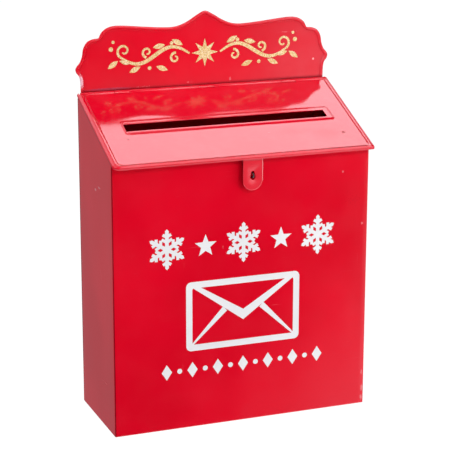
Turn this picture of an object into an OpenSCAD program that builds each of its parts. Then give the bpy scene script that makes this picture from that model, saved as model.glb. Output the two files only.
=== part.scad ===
// Wall-hung letter box in painted sheet steel: a folded case, a shaped back
// plate that stands up as a header, a sloping hinged lid with a letter slot,
// and a hasp that drops over a wire staple for a small padlock.
// X runs across the box, Y from front to back, Z up. The origin is the middle
// of the face that the box rests on.

/* [Case] */
// Width over the two side walls
body_w = 250; // [240:2:260]
// Depth from the front wall to the back plate
body_d = 101; // [96:1:110]
// Thickness of the sheet steel
sheet = 0.6; // [0.5:0.1:0.7]
// Outside radius of the folded corners
bend_r = 1.2; // [1:0.1:2]
// Width of the inward folds along the back of the side walls
back_fold = 12; // [8:1:16]
// Height of the folded hem along the top edges
hem_h = 8; // [6:1:10]
// Height of the floor pan's turned-up edges
pan_h = 8; // [6:1:10]

/* [Lid] */
// Height of the lid's front edge
eave_z = 255; // [245:0.1:260]
// Slope of the lid in degrees
lid_slope = 23.2; // [22.6:0.1:23.6]
// How far the lid stands out past the front wall
lid_over = 11.6; // [11.4:0.1:12.4]
// How far each side of the lid stands out past the side wall
lid_side = 1; // [0.9:0.1:1.5]
// Depth of the turned-down edge
lid_edge = 3.4; // [3.2:0.1:3.6]
// Radius of the lid's front left corner
lid_corner = 4.5; // [3:0.5:6]
// Radius of the lid's front right corner
lid_corner_r = 2; // [1.5:0.5:6]
// Width of the pressed bead along the lid's sides
bead_w = 5.6; // [4:0.2:6]
// Width of the pressed bead along the lid's front
bead_f = 2.4; // [2.2:0.1:4]
// Height of the pressed bead
bead_h = 0.7; // [0.5:0.1:0.8]
// Length of the letter slot
slot_len = 197; // [180:1:200]
// Width of the letter slot
slot_w = 11.4; // [10:0.2:12]
// Distance up the slope from the front edge to the middle of the slot
slot_at = 58.3; // [56:0.1:60]
// Length of the pressed rim round the slot
rim_len = 206.6; // [205:0.2:208]
// Width of the pressed rim from front to back
rim_w = 23.2; // [20:0.2:24]
// How far the rim is pressed off-centre to the right
rim_off = 2.8; // [0:0.1:3]
// Height of the rim above the lid's field
rim_h = 0.6; // [0.5:0.1:0.7]

/* [Hinge] */
// Radius of the hinge wire
wire_r = 1.4; // [1.2:0.1:1.4]
// Outside radius of the rolled hinge barrel
barrel_r = 2.2; // [2.1:0.05:2.3]
// How far the barrel stands up above the lid's edge
barrel_up = 0.8; // [0.7:0.1:0.9]
// Distance up the slope from the front edge to the hinge axis
hinge_at = 117.3; // [117:0.1:117.6]
// Length of each fixed knuckle
knuckle = 14; // [10:1:20]
// Distance between the fixed knuckles
knuckle_gap = 84; // [70:1:90]

/* [Header] */
// Height of the header's lower edge
header_z = 300.2; // [300.2:0.1:301]
// Width of the header over its two ears
header_w = 253.6; // [250:0.2:256]
// Width of the rolled edge of the header
roll_w = 3.4; // [3:0.2:4]
// How far the rolled edge stands out to the front
roll_h = 1.2; // [0.8:0.1:1.3]

/* [Hasp] */
// Middle of the hasp, measured from the middle of the box
hasp_x = 6; // [-10:1:10]
// Width of the hasp tab
hasp_w = 19.5; // [18:0.5:21]
// Thickness of the hasp tab
hasp_t = 0.8; // [0.6:0.1:0.9]
// Lowest point of the hasp tab
hasp_low = 222.4; // [221:0.2:224]
// Height of the staple
staple_z = 236.5; // [236:0.5:237]
// Radius of the staple's wire
staple_wire = 0.75; // [0.6:0.05:0.8]
// Outside radius of the staple's loop
staple_r = 2.8; // [2.5:0.1:2.9]

/* [Wall fixing] */
// Radius of the two screw holes in the back plate
screw_r = 2.5; // [2:0.25:3]
// Distance between the screw holes
screw_gap = 160; // [120:5:180]
// Height of the screw holes
screw_z = 272; // [271:0.5:273]

/* [Printed ornament] */
// Thickness of the applied white and gold layers
print_t = 0.12; // [0.08:0.02:0.16]
// Width of the envelope ornament
env_w = 112; // [90:2:130]
// Height of the envelope ornament
env_h = 66; // [60:2:80]
// Width of the lines in the envelope ornament
env_line = 6; // [4:0.5:8]

/* [Hidden] */
$fn = 64;

red = "#c8102e";
hw = body_w / 2;
front_y = -body_d / 2;
back_y = body_d / 2;
plate_y = back_y - sheet;            // front face of the back plate
eave_y = front_y - lid_over;
field_w = -bead_h - sheet;           // underside of the lid's flat field
rest_gap = 0.35;                     // air between the lid and the wall tops
wall_w = field_w - rest_gap;
sl = lid_slope;
rim_at = slot_at + 0.9;
wall_z = eave_z + lid_over * tan(sl) + wall_w / cos(sl);   // top of the front wall

// Hinge axis of the lid
hinge_w = barrel_up - barrel_r;
hinge_y = eave_y + hinge_at * cos(sl) - hinge_w * sin(sl);
hinge_z = eave_z + hinge_at * sin(sl) + hinge_w * cos(sl);

// Hinge axis of the hasp: hangs below the lid's front edge
pin_r = 0.9;
eye_r = pin_r + 0.05 + hasp_t;
tab_front = front_y - 7;
pivot_y = tab_front + eye_r;
pivot_w = field_w - 0.8 - eye_r - 0.45;
pivot_z = eave_z + (pivot_y - eave_y) * tan(sl) + pivot_w / cos(sl);
ear_in = hasp_w / 2 + 0.5;
ear_t = 1;

// ---------- helpers ----------

// Puts its children in the lid's own plane: X across, Y up the slope
module on_slope() translate([0, eave_y, eave_z]) rotate([sl, 0, 0]) children();

// Extrudes a section drawn in the Y-Z plane along X
module along_x(x0, len) translate([x0, 0, 0]) rotate([90, 0, 90])
    linear_extrude(height = len) children();

// Extrudes a drawing in the X-Z plane from the plane y = y0 to the front
module to_front(y0, t) translate([0, y0, 0]) rotate([90, 0, 0])
    linear_extrude(height = t) children();

module round_rect(w, d, r) {
    square([w - 2 * r, d], center = true);
    square([w, d - 2 * r], center = true);
    for (x = [-1, 1], y = [-1, 1])
        translate([x * (w / 2 - r), y * (d / 2 - r)]) circle(r = r);
}

// Lid outline, inset by i at the sides and by f at the front, ending at the hinge axis
module lid_plan(i, back = 0, f = -1) {
    w = body_w / 2 + lid_side - i;
    j = f < 0 ? i : f;
    for (s = [-1, 1]) {
        r = max((s < 0 ? lid_corner : lid_corner_r) - i, 0.5);
        hull() {
            translate([s * (w - r), j + r]) circle(r = r);
            translate([s > 0 ? -0.01 : -w, j + r]) square([w + 0.01, 1]);
            translate([s > 0 ? -0.01 : r - w, j]) square([w - r + 0.01, 1]);
        }
        translate([s > 0 ? -0.01 : -w, j + r]) square([w + 0.01, hinge_at + back - j - r]);
    }
}

// Smooth curve through points: Catmull-Rom
function cr(a, b, c, d, t) = 0.5 * (2 * b + (c - a) * t
    + (2 * a - 5 * b + 4 * c - d) * t * t + (3 * b - a - 3 * c + d) * t * t * t);
function smooth(p, n) = let (m = len(p) - 1) concat(
    [for (i = [0 : m - 1], k = [0 : n - 1])
        cr(p[max(i - 1, 0)], p[i], p[i + 1], p[min(i + 2, m)], k / n)], [p[m]]);
function mirrored(p) = [for (i = [len(p) - 1 : -1 : 0]) [-p[i][0], p[i][1]]];

// Right half of the header: arched middle, then a rounded shoulder with an ear
crown = [[-8, 68], [0, 71.4], [8, 68], [16, 63.2], [24, 59.6], [32.5, 57.8], [44, 58],
    [61, 59.4], [77, 61], [88.5, 61.6], [96.5, 60.2], [102.5, 56.2], [105.5, 50.8]];
shoulder = [[105.5, 50.8], [111.5, 50.2], [117, 47.6], [120.5, 42], [121.8, 35], [124, 29.5],
    [127, 26], [128.4, 23], [127.4, 19.5], [124.8, 16], [123.8, 10], [123.6, 0]];
crown_curve = [for (p = smooth(crown, 5)) if (p[0] > -0.01) p];
header_half = concat(crown_curve, [for (i = [1 : 60])
    let (s = smooth(shoulder, 5)) if (i < len(s)) s[i]]);
header_outline = [for (p = concat(mirrored(header_half), [for (i = [1 : len(header_half) - 1])
    header_half[i]])) [p[0] * header_w / 256.8, p[1] + header_z]];

// A stroke of changing width along a list of points
function dir(p, i) = let (a = p[max(i - 1, 0)], b = p[min(i + 1, len(p) - 1)], d = b - a)
    d / norm(d);
function side(p, w, s) = [for (i = [0 : len(p) - 1])
    let (d = dir(p, i)) p[i] + s * w[i] / 2 * [-d[1], d[0]]];
module stroke(p, w) polygon(concat(side(p, w, 1),
    [for (i = [len(p) - 1 : -1 : 0]) side(p, w, -1)[i]]));

function star(n, ro, ri) = [for (i = [0 : 2 * n - 1])
    (i % 2 == 0 ? ro : ri) * [sin(180 * i / n), cos(180 * i / n)]];
function leaf(l, w) = concat([for (i = [0 : 12]) [l * i / 12, w / 2 * sin(180 * i / 12)]],
    [for (i = [11 : -1 : 1]) [l * i / 12, -w / 2 * sin(180 * i / 12)]]);

module snowflake(r, s) {
    circle(r = s * 1.15, $fn = 6);
    for (a = [0 : 60 : 300]) rotate(a + 90) {
        polygon([[0, -s / 2], [r - s / 2, -s / 2], [r, 0], [r - s / 2, s / 2], [0, s / 2]]);
        for (k = [[0.36, 0.3], [0.62, 0.24]], m = [-1, 1]) translate([k[0] * r, 0])
            rotate(m * 60) translate([0, -s * 0.4]) square([k[1] * r, s * 0.8]);
    }
}

// ---------- case ----------

module case_wrap() color(red) difference() {
    union() {
        linear_extrude(height = 310) difference() {
            translate([0, -sheet / 2]) round_rect(body_w, body_d - sheet, bend_r);
            translate([0, -sheet / 2]) round_rect(body_w - 2 * sheet, body_d - 3 * sheet,
                bend_r - sheet);
            translate([back_fold - hw, 0]) square([body_w - 2 * back_fold, body_d]);
        }
        // hems folded to the inside
        translate([-hw + sheet + 2, front_y + sheet, wall_z - hem_h])
            cube([body_w - 2 * sheet - 4, sheet, 30]);
        for (s = [-1, 1]) on_slope()
            translate([s * (hw - 1.5 * sheet + 0.025) - sheet / 2 - 0.025, lid_over + 5, wall_w - hem_h])
                cube([sheet + 0.05, 90, hem_h]);
    }
    on_slope() translate([-hw - 5, -20, wall_w]) cube([body_w + 10, 200, 90]);
    // corners cut back round the hinge barrel, back folds kept below it
    translate([-hw - 5, hinge_y - barrel_r - 0.9, hinge_z - barrel_r - 0.7])
        cube([body_w + 10, 20, 30]);
    translate([-hw + sheet, back_y - 8, hinge_z - 6.4]) cube([body_w - 2 * sheet, 20, 30]);
    translate([-hw + sheet, back_y - 8, -1]) cube([body_w - 2 * sheet, 20, pan_h + 2]);
    for (s = [-1, 1])
        translate([hasp_x, front_y + 4, staple_z + s * (staple_r - staple_wire)])
            rotate([90, 0, 0]) cylinder(r = staple_wire + 0.05, h = 10);
}

module back_plate() color(red) union() {
    difference() {
        translate([0, back_y, 0]) rotate([90, 0, 0]) linear_extrude(height = sheet) {
            translate([-hw, 0]) square([body_w, hinge_z - barrel_r - 0.8]);
            polygon(concat([[-123.6 * header_w / 256.8, hinge_z - 4]], header_outline,
                [[123.6 * header_w / 256.8, hinge_z - 4]]));
        }
        for (s = [-1, 1]) translate([s * screw_gap / 2, back_y + 1, screw_z])
            rotate([90, 0, 0]) cylinder(r = screw_r, h = 4);
    }
    // rolled edge of the header
    to_front(plate_y, roll_h) difference() {
        polygon(header_outline);
        offset(delta = -roll_w) polygon(concat([[-123.6 * header_w / 256.8, header_z - 20]], header_outline,
            [[123.6 * header_w / 256.8, header_z - 20]]));
        translate([-hw, header_z - 30]) square([body_w, 30.6]);
    }
}

module floor_pan() color(red) difference() {
    w = body_w - 2 * sheet;
    d = body_d - 2 * sheet;
    linear_extrude(height = pan_h) round_rect(w, d, 1);
    translate([0, 0, sheet]) linear_extrude(height = pan_h)
        round_rect(w - 2 * sheet, d - 2 * sheet, 0.5);
    // open corners, where the turned-up edges meet
    for (x = [-1, 1], y = [-1, 1]) translate([x * w / 2 - 2, y * d / 2 - 2, sheet])
        cube([4, 4, pan_h]);
}

// ---------- hinge ----------

module hinge_strip() color(red) {
    y0 = plate_y - sheet;
    top = hinge_z - barrel_r - 0.6;
    difference() {
        union() {
            translate([-knuckle_gap - 16, y0, 276]) cube([2 * knuckle_gap + 32, sheet, top - 276]);
            for (k = [-1 : 1]) along_x(k * knuckle_gap - knuckle / 2, knuckle) {
                translate([hinge_y, hinge_z]) circle(r = barrel_r);
                polygon([[y0, top - 0.6], [plate_y, top - 0.6], [plate_y, hinge_z - 0.8],
                    [hinge_y + 1.8, hinge_z + 0.6], [hinge_y + 0.5, hinge_z - 1.8],
                    [y0 - 0.6, hinge_z - 2.4], [y0, top]]);
            }
        }
        translate([-hw, hinge_y, hinge_z]) rotate([0, 90, 0])
            cylinder(r = wire_r + 0.02, h = body_w);
    }
}

module hinge_wire() color("#b9babd")
    translate([1.8 - hw, hinge_y, hinge_z]) rotate([0, 90, 0])
        cylinder(r = wire_r, h = body_w - 3.6);

// ---------- lid ----------

module lid() color(red) difference() {
    union() {
        on_slope() {
            // turned-down edge
            translate([0, 0, -lid_edge]) linear_extrude(height = lid_edge) difference() {
                lid_plan(0, barrel_r);
                lid_plan(sheet, barrel_r + 1);
            }
            // bead round the edge, flat field, and rim of the slot
            translate([0, 0, field_w]) linear_extrude(height = -field_w) difference() {
                lid_plan(0);
                lid_plan(bead_w, 1, bead_f);
            }
            translate([0, 0, field_w]) linear_extrude(height = sheet) lid_plan(sheet);
            translate([rim_off, rim_at, field_w]) linear_extrude(height = sheet + rim_h)
                round_rect(rim_len, rim_w, 4);
        }
        translate([1.6 - hw, hinge_y, hinge_z]) rotate([0, 90, 0])
            cylinder(r = barrel_r, h = body_w - 3.2);
    }
    on_slope() {
        // the bead and the rim are pressed: hollow from below
        translate([0, 0, field_w - 1]) linear_extrude(height = 1 - field_w - sheet)
            difference() {
                lid_plan(2 * sheet);
                lid_plan(bead_w - sheet, 1, bead_f - sheet);
            }
        translate([rim_off, rim_at, field_w - 1]) linear_extrude(height = 1 + rim_h)
            round_rect(rim_len - 2 * sheet, rim_w - 2 * sheet, 3.4);
        translate([-slot_len / 2, slot_at - slot_w / 2, -5]) cube([slot_len, slot_w, 10]);
        // openings for the fixed knuckles
        for (k = [-1 : 1])
            translate([k * knuckle_gap - knuckle / 2 - 0.3, hinge_at - barrel_r - 0.4, -8])
                cube([knuckle + 0.6, 12, 12]);
    }
    translate([-hw, hinge_y, hinge_z]) rotate([0, 90, 0])
        cylinder(r = wire_r + 0.05, h = body_w);
}

// ---------- hasp ----------

module hasp_bracket() color(red) difference() {
    union() {
        on_slope() translate([hasp_x - ear_in - ear_t - 1.5, 2.2, field_w - 0.8])
            cube([2 * (ear_in + ear_t + 1.5), 8, 0.8]);
        for (s = [-1, 1]) {
            x0 = s > 0 ? hasp_x + ear_in : hasp_x - ear_in - ear_t;
            translate([x0, pivot_y, pivot_z]) rotate([0, 90, 0]) cylinder(r = 1.9, h = ear_t);
            translate([x0, pivot_y, pivot_z]) rotate([sl, 0, 0])
                translate([0, -1.9, 0]) cube([ear_t, 3.8, -pivot_w + field_w - 0.4]);
        }
    }
    translate([hasp_x - 20, pivot_y, pivot_z]) rotate([0, 90, 0]) cylinder(r = pin_r, h = 40);
}

module hasp_pin() color("#b9babd") {
    e = ear_in + ear_t;
    translate([hasp_x - e - 0.5, pivot_y, pivot_z]) rotate([0, 90, 0])
        cylinder(r = pin_r, h = 2 * e + 1);
    for (x = [-e - 0.6, e]) translate([hasp_x + x, pivot_y, pivot_z]) rotate([0, 90, 0])
        cylinder(r = 1.5, h = 0.6);
}

module hasp_tab() color(red) difference() {
    union() {
        translate([hasp_x - hasp_w / 2, pivot_y, pivot_z]) rotate([0, 90, 0])
            cylinder(r = eye_r, h = hasp_w);
        to_front(tab_front + hasp_t, hasp_t) {
            translate([hasp_x - hasp_w / 2, hasp_low + hasp_w / 2])
                square([hasp_w, pivot_z - hasp_low - hasp_w / 2]);
            translate([hasp_x, hasp_low + hasp_w / 2]) circle(r = hasp_w / 2);
        }
    }
    translate([hasp_x - 20, pivot_y, pivot_z]) rotate([0, 90, 0])
        cylinder(r = pin_r + 0.05, h = 40);
    // slot that drops over the staple
    to_front(tab_front + 2, 4) {
        hull() {
            translate([hasp_x, staple_z - 1.7]) circle(r = 2.5);
            translate([hasp_x, staple_z + 2.6]) circle(r = 1.6);
        }
    }
}

module lock_staple() color("#c9cacd") {
    r = staple_r - staple_wire;
    nose = tab_front + hasp_t;
    tail = front_y + sheet + 0.8 + staple_wire;
    translate([hasp_x, nose, staple_z]) rotate([0, 90, 0]) rotate([0, 0, 180])
        rotate_extrude(angle = 180) translate([r, 0]) circle(r = staple_wire);
    for (s = [-1, 1]) {
        translate([hasp_x, tail, staple_z + s * r]) rotate([90, 0, 0])
            cylinder(r = staple_wire, h = tail - nose);
        // ends turned over behind the plate
        translate([hasp_x, tail, staple_z + s * r]) sphere(r = staple_wire);
        translate([hasp_x, tail, staple_z + s * r]) rotate([s > 0 ? 0 : 180, 0, 0])
            cylinder(r = staple_wire, h = 6);
    }
}

module staple_plate() color("#b9babd") difference() {
    translate([hasp_x, front_y + sheet + 0.8, staple_z]) rotate([90, 0, 0])
        linear_extrude(height = 0.8) round_rect(14, 24, 2);
    for (s = [-1, 1])
        translate([hasp_x, front_y + 4, staple_z + s * (staple_r - staple_wire)])
            rotate([90, 0, 0]) cylinder(r = staple_wire + 0.05, h = 10);
}

// ---------- applied ornament ----------

module front_print() color("white") to_front(front_y, print_t) {
    // row of snowflakes and stars
    for (x = [-74, 0, 74]) translate([x, 173]) snowflake(19, 3.5);
    for (x = [-37, 37]) translate([x, 173]) polygon(star(5, 11, 4.6));
    // envelope
    translate([0, 107]) {
        difference() {
            round_rect(env_w, env_h, 5);
            round_rect(env_w - 2 * env_line, env_h - 2 * env_line, 1.5);
        }
        a = env_w / 2 - env_line * 0.6;
        b = env_h / 2 - env_line * 0.6;
        polygon([[-a, b], [-a + 7, b], [0, 2], [a - 7, b], [a, b], [0, -8]]);
        for (s = [-1, 1]) polygon([[s * (a - 1), -b], [s * a, -b + 1], [s * 20, 8 - b * 0.05],
            [s * 16, 1 + b * 0.05]]);
    }
    // row of diamonds and dots
    for (k = [-3 : 3]) translate([k * 25, 56]) polygon([[0, 7.5], [5, 0], [0, -7.5], [-5, 0]]);
    for (k = [-3 : 2]) translate([k * 25 + 12.5, 56]) circle(r = 2.4);
}

module header_print() color("#d9b45a") to_front(plate_y, print_t)
    translate([0, header_z + 32]) scale([1.1, 1.1]) {
    polygon(star(8, 12, 5.2));
    for (m = [0, 1]) mirror([m, 0, 0]) {
        stem = [for (i = [0 : 24]) [14 + 62 * i / 24, 6.5 * sin(15 * i)]];
        stroke(stem, [for (i = [0 : 24]) 1.6 + 1.8 * sin(7.5 * i)]);
        // scrolls
        for (c = [[72.7, 5.1, 6.1, -57, 1], [27, -3.2, 4.6, 100, -1], [52, 3, 4.6, -80, 1]])
            stroke([for (i = [0 : 22]) [c[0], c[1]] + c[2] * (1 - 0.034 * i)
                    * [cos(c[3] + c[4] * 17 * i), sin(c[3] + c[4] * 17 * i)]],
                [for (i = [0 : 22]) 2.2 - 0.04 * i]);
        // leaves and berries
        for (c = [[20, 7.5, 28], [36, 8.5, -10], [44, -9.5, -160], [58, -9, -24], [66, -5.5, 12],
            [78, -3, -35]]) translate([c[0], c[1]]) rotate(c[2]) polygon(leaf(11, 4.4));
        for (c = [[30, 9.6, 1.6], [50, -10.6, 1.6], [84, 7, 1.9], [82, 13, 1.3]])
            translate([c[0], c[1]]) circle(r = c[2]);
    }
}

case_wrap();
back_plate();
floor_pan();
hinge_strip();
hinge_wire();
lid();
hasp_bracket();
hasp_pin();
hasp_tab();
lock_staple();
staple_plate();
front_print();
header_print();
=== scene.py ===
import bpy, bmesh, math
from mathutils import Vector, Matrix, noise


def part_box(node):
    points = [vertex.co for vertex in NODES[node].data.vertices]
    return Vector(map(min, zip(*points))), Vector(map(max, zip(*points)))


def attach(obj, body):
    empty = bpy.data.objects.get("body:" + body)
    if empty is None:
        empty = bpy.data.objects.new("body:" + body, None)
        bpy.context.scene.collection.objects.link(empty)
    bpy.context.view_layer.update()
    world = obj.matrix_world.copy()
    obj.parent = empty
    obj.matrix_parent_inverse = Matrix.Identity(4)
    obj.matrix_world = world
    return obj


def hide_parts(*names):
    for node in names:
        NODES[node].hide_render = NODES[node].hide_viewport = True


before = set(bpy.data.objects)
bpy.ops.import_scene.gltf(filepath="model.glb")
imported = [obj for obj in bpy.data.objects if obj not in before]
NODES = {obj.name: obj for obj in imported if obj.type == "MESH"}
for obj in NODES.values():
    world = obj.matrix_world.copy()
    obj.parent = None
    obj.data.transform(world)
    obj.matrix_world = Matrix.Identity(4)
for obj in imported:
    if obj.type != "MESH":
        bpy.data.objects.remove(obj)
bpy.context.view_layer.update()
scene = bpy.context.scene
MM = 0.001

# ---------------------------------------------------------------- camera
def look_axes(az, el, roll):
    a, e, r = math.radians(az), math.radians(el), math.radians(roll)
    back = Vector((math.sin(a) * math.cos(e), -math.cos(a) * math.cos(e), math.sin(e)))
    right = (-back).cross(Vector((0, 0, 1))).normalized()
    up = right.cross(-back)
    c, s = math.cos(r), math.sin(r)
    return c * right + s * up, -s * right + c * up, back

cam_data = bpy.data.cameras.new("camera")
cam = bpy.data.objects.new("camera", cam_data)
scene.collection.objects.link(cam)
right, up, back = look_axes(-21.204, 15.061, 0.110)
m = Matrix((right, up, back)).transposed().to_4x4()
m.translation = Vector((-0.5422, -1.4012, 0.5806))
cam.matrix_world = m
cam_data.sensor_fit = "HORIZONTAL"
cam_data.sensor_width = 36.0
cam_data.lens = 1656.3 * 36.0 / 450.0
cam_data.clip_start = 0.05
cam_data.clip_end = 30.0
scene.camera = cam

# ---------------------------------------------------------------- sizes, in mm, as in the CAD
HW, FY, BY, SH = 125.0, -50.5, 50.5, 0.6
PLATE_Y = BY - SH
EY, EZ, SL = -62.1, 255.0, math.radians(23.2)
HINGE_AT, HINGE_W, BR = 117.3, -1.4, 2.2
HY = EY + HINGE_AT * math.cos(SL) - HINGE_W * math.sin(SL)
HZ = EZ + HINGE_AT * math.sin(SL) + HINGE_W * math.cos(SL)
WALL_W = -1.65
LHW = 126.0
HEAD_Z, HEAD_X = 300.2, 253.6 / 256.8
HX, HASP_W, HASP_T, HASP_LOW, STAPLE_Z = 6.0, 19.5, 0.8, 222.4, 236.5
TAB_Y = -57.5
PY, PZ = -55.75, 253.0433


def slope(x, u, w):
    return Vector((x, EY + u * math.cos(SL) - w * math.sin(SL), EZ + u * math.sin(SL) + w * math.cos(SL)))


def wall_top(y):
    return EZ + (y - EY) * math.tan(SL) + WALL_W / math.cos(SL)


def smooth01(t):
    t = min(max(t, 0.0), 1.0)
    return t * t * (3 - 2 * t)


# ---------------------------------------------------------------- mesh helpers
def new_object(name, verts, faces, smooth=True):
    me = bpy.data.meshes.new(name)
    me.from_pydata([tuple(Vector(v) * MM) for v in verts], [], faces)
    me.validate()
    me.update()
    for p in me.polygons:
        p.use_smooth = smooth
    ob = bpy.data.objects.new(name, me)
    scene.collection.objects.link(ob)
    return ob


def apply_modifiers(ob):
    bpy.context.view_layer.update()
    dg = bpy.context.evaluated_depsgraph_get()
    me = bpy.data.meshes.new_from_object(ob.evaluated_get(dg), depsgraph=dg)
    old = ob.data
    ob.modifiers.clear()
    ob.data = me
    me.name = ob.name
    bpy.data.meshes.remove(old)
    return ob


def solidify(ob, t, offset=-1.0):
    md = ob.modifiers.new("sheet", "SOLIDIFY")
    md.thickness = t * MM
    md.offset = offset
    md.use_even_offset = True
    md.use_quality_normals = True
    apply_modifiers(ob)


def bevel(ob, width, segments=2, angle=50):
    md = ob.modifiers.new("edges", "BEVEL")
    md.width = width * MM
    md.segments = segments
    md.limit_method = "ANGLE"
    md.angle_limit = math.radians(angle)
    md.harden_normals = False
    apply_modifiers(ob)
    for p in ob.data.polygons:
        p.use_smooth = True


def sharpen(ob, angle=38):
    """Smooth shading that stays crisp at edges sharper than the angle."""
    me = ob.data
    bm = bmesh.new()
    bm.from_mesh(me)
    for e in bm.edges:
        e.smooth = not (len(e.link_faces) == 2 and e.calc_face_angle(0) > math.radians(angle))
    for f in bm.faces:
        f.smooth = True
    bm.to_mesh(me)
    bm.free()


def face_out(ob, toward):
    """Turns all faces one way, so that on the whole, weighted by area, they face the way given."""
    bm = bmesh.new()
    bm.from_mesh(ob.data)
    bmesh.ops.recalc_face_normals(bm, faces=bm.faces)
    bm.faces.ensure_lookup_table()
    total = sum((f.normal.dot(Vector(toward)) * f.calc_area() for f in bm.faces), 0.0)
    if total < 0:
        bmesh.ops.reverse_faces(bm, faces=bm.faces)
    bm.to_mesh(ob.data)
    bm.free()


def join(parts, name):
    verts, faces = [], []
    for p in parts:
        base = len(verts)
        verts += [tuple(v.co / MM) for v in p.data.vertices]
        faces += [tuple(base + i for i in f.vertices) for f in p.data.polygons]
        me = p.data
        bpy.data.objects.remove(p)
        bpy.data.meshes.remove(me)
    return new_object(name, verts, faces)


def box_mesh(name, lo, hi, r=0.2):
    v = [(x, y, z) for x in (lo[0], hi[0]) for y in (lo[1], hi[1]) for z in (lo[2], hi[2])]
    f = [(0, 1, 3, 2), (4, 6, 7, 5), (0, 4, 5, 1), (2, 3, 7, 6), (0, 2, 6, 4), (1, 5, 7, 3)]
    ob = new_object(name, v, f)
    if r:
        bevel(ob, r, 2, 30)
    return ob


def tube(name, x0, x1, ro, ri, cy, cz, n=40, b=0.18):
    """Hollow tube along X with softened ends."""
    prof = [(x0, ri), (x0, ro - b), (x0 + b * 0.3, ro - b * 0.3), (x0 + b, ro), (x1 - b, ro),
            (x1 - b * 0.3, ro - b * 0.3), (x1, ro - b), (x1, ri)]
    verts, faces = [], []
    for x, r in prof:
        for k in range(n):
            a = 2 * math.pi * k / n
            verts.append((x, cy + r * math.cos(a), cz + r * math.sin(a)))
    m = len(prof)
    for i in range(m):
        for k in range(n):
            a, b2 = i * n + k, i * n + (k + 1) % n
            c, d = ((i + 1) % m) * n + (k + 1) % n, ((i + 1) % m) * n + k
            faces.append((a, b2, c, d))
    ob = new_object(name, verts, faces)
    bm = bmesh.new()
    bm.from_mesh(ob.data)
    bmesh.ops.recalc_face_normals(bm, faces=bm.faces)
    bm.to_mesh(ob.data)
    bm.free()
    return ob


# ---------------------------------------------------------------- how flat the sheets are
def front_wave(x, z):
    """Slight oil-canning of the front wall, in mm, nought at its edges. Positive is outward."""
    e = max(0.0, math.sin(math.pi * (x + HW) / (2 * HW))) * max(0.0, math.sin(math.pi * min(z, 256) / 256))
    n = noise.noise(Vector((x * 0.013 + 3.1, z * 0.011 + 7.7, 0.4)))
    n += 0.4 * noise.noise(Vector((x * 0.03 + 9.2, z * 0.028 + 1.3, 2.1)))
    return 0.22 * n * e ** 0.5


def side_wave(y, z, seed):
    e = max(0.0, math.sin(math.pi * (y + 50) / 100)) * max(0.0, math.sin(math.pi * min(z / 280, 1)))
    return 0.25 * noise.noise(Vector((y * 0.02 + seed, z * 0.012 + 4.4, seed))) * e ** 0.5


def lid_wave(x, u):
    e = max(0.0, 1 - (abs(x) / 121) ** 4) * max(0.0, math.sin(math.pi * min(max((u - 5) / 109, 0), 1))) ** 0.5
    n = noise.noise(Vector((x * 0.016 + 5.3, u * 0.022 + 2.2, 1.7)))
    return 0.16 * n * e


# ---------------------------------------------------------------- lid
def spaced(a, b, step):
    n = max(1, round(abs(b - a) / step))
    return [a + (b - a) * i / n for i in range(n)]


def lines(marks, steps):
    out = []
    for i in range(len(marks) - 1):
        out += spaced(marks[i], marks[i + 1], steps[i])
    return out + [marks[-1]]


SLOT_X, SLOT_A, SLOT_B = 98.5, 52.6, 64.0
RIM_C, RIM_HX, RIM_HU = (2.8, 59.2), 103.3, 11.6
IN_S, IN_F = 6.1, 4.6               # where the flat field ends, from the sides and from the front
IN_R = {-1: 5.0, 1: 3.0}            # corner radius of the field, left and right
OUT_R = {-1: 6.4, 1: 2.0}           # corner radius of the lid's edge
PROFILE_F = [(4.6, -.70), (4.35, -.685), (4.0, -.625), (3.6, -.535), (3.1, -.40), (2.55, -.21), (2.05, -.03),
             (1.8, 0), (1.54, -.07), (1.27, -.28), (.96, -.60), (.62, -.97), (.34, -1.35), (.13, -1.85),
             (.02, -2.5), (0, -3.4)]
PROFILE_L = [(6.1, -.70), (5.8, -.66), (5.45, -.54), (5.1, -.38), (4.75, -.22), (4.4, -.10), (4.0, -.02),
             (3.5, 0), (2.9, -.06), (2.3, -.2), (1.75, -.4), (1.25, -.66), (.8, -1.0), (.4, -1.5),
             (.1, -2.2), (0, -3.4)]
PROFILE_R = [(6.1, -.70), (5.8, -.69), (5.5, -.64), (5.2, -.54), (4.9, -.42), (4.6, -.31), (4.3, -.24),
             (3.9, -.22), (3.4, -.27), (2.7, -.38), (1.9, -.53), (1.2, -.68), (.7, -.88), (.3, -1.25),
             (.06, -2.0), (0, -3.4)]


def rim_height(x, u):
    """The pressed rim round the slot: a soft slope from the field, then a narrow flat top."""
    r = 4.0
    qx, qu = abs(x - RIM_C[0]) - (RIM_HX - r), abs(u - RIM_C[1]) - (RIM_HU - r)
    dist = math.hypot(max(qx, 0), max(qu, 0)) + min(max(qx, qu), 0) - r
    rise = smooth01(-dist / (2.0 if x < -SLOT_X else 3.5))
    lip = 0.12 * smooth01(1 - max(abs(x) - SLOT_X, abs(u - (SLOT_A + SLOT_B) / 2) - (SLOT_B - SLOT_A) / 2) / 1.2)
    foot = -0.07 * math.exp(-max(dist, 0) / 4.0) * (1 - rise)
    return 0.70 * rise + lip * rise + foot


def lid_dents(x, u):
    """Shallow dents: one behind the slot at the left, one in front of it at the right."""
    d = -0.20 * math.exp(-((x + 77) / 11) ** 2 - ((u - 71.0) / 3.2) ** 2) * smooth01((u - 68.5) / 2.5)
    d -= 0.10 * math.exp(-((x - 92) / 16) ** 2 - ((u - 33) / 8) ** 2)
    return d


def corner_arc(f, r):
    """A point on a quarter circle about nought, for a place f (0 to 1) along one side of its square."""
    a = 1 - f
    return r * a * math.sqrt(0.5), r * math.sqrt(1 - a * a / 2)


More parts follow.
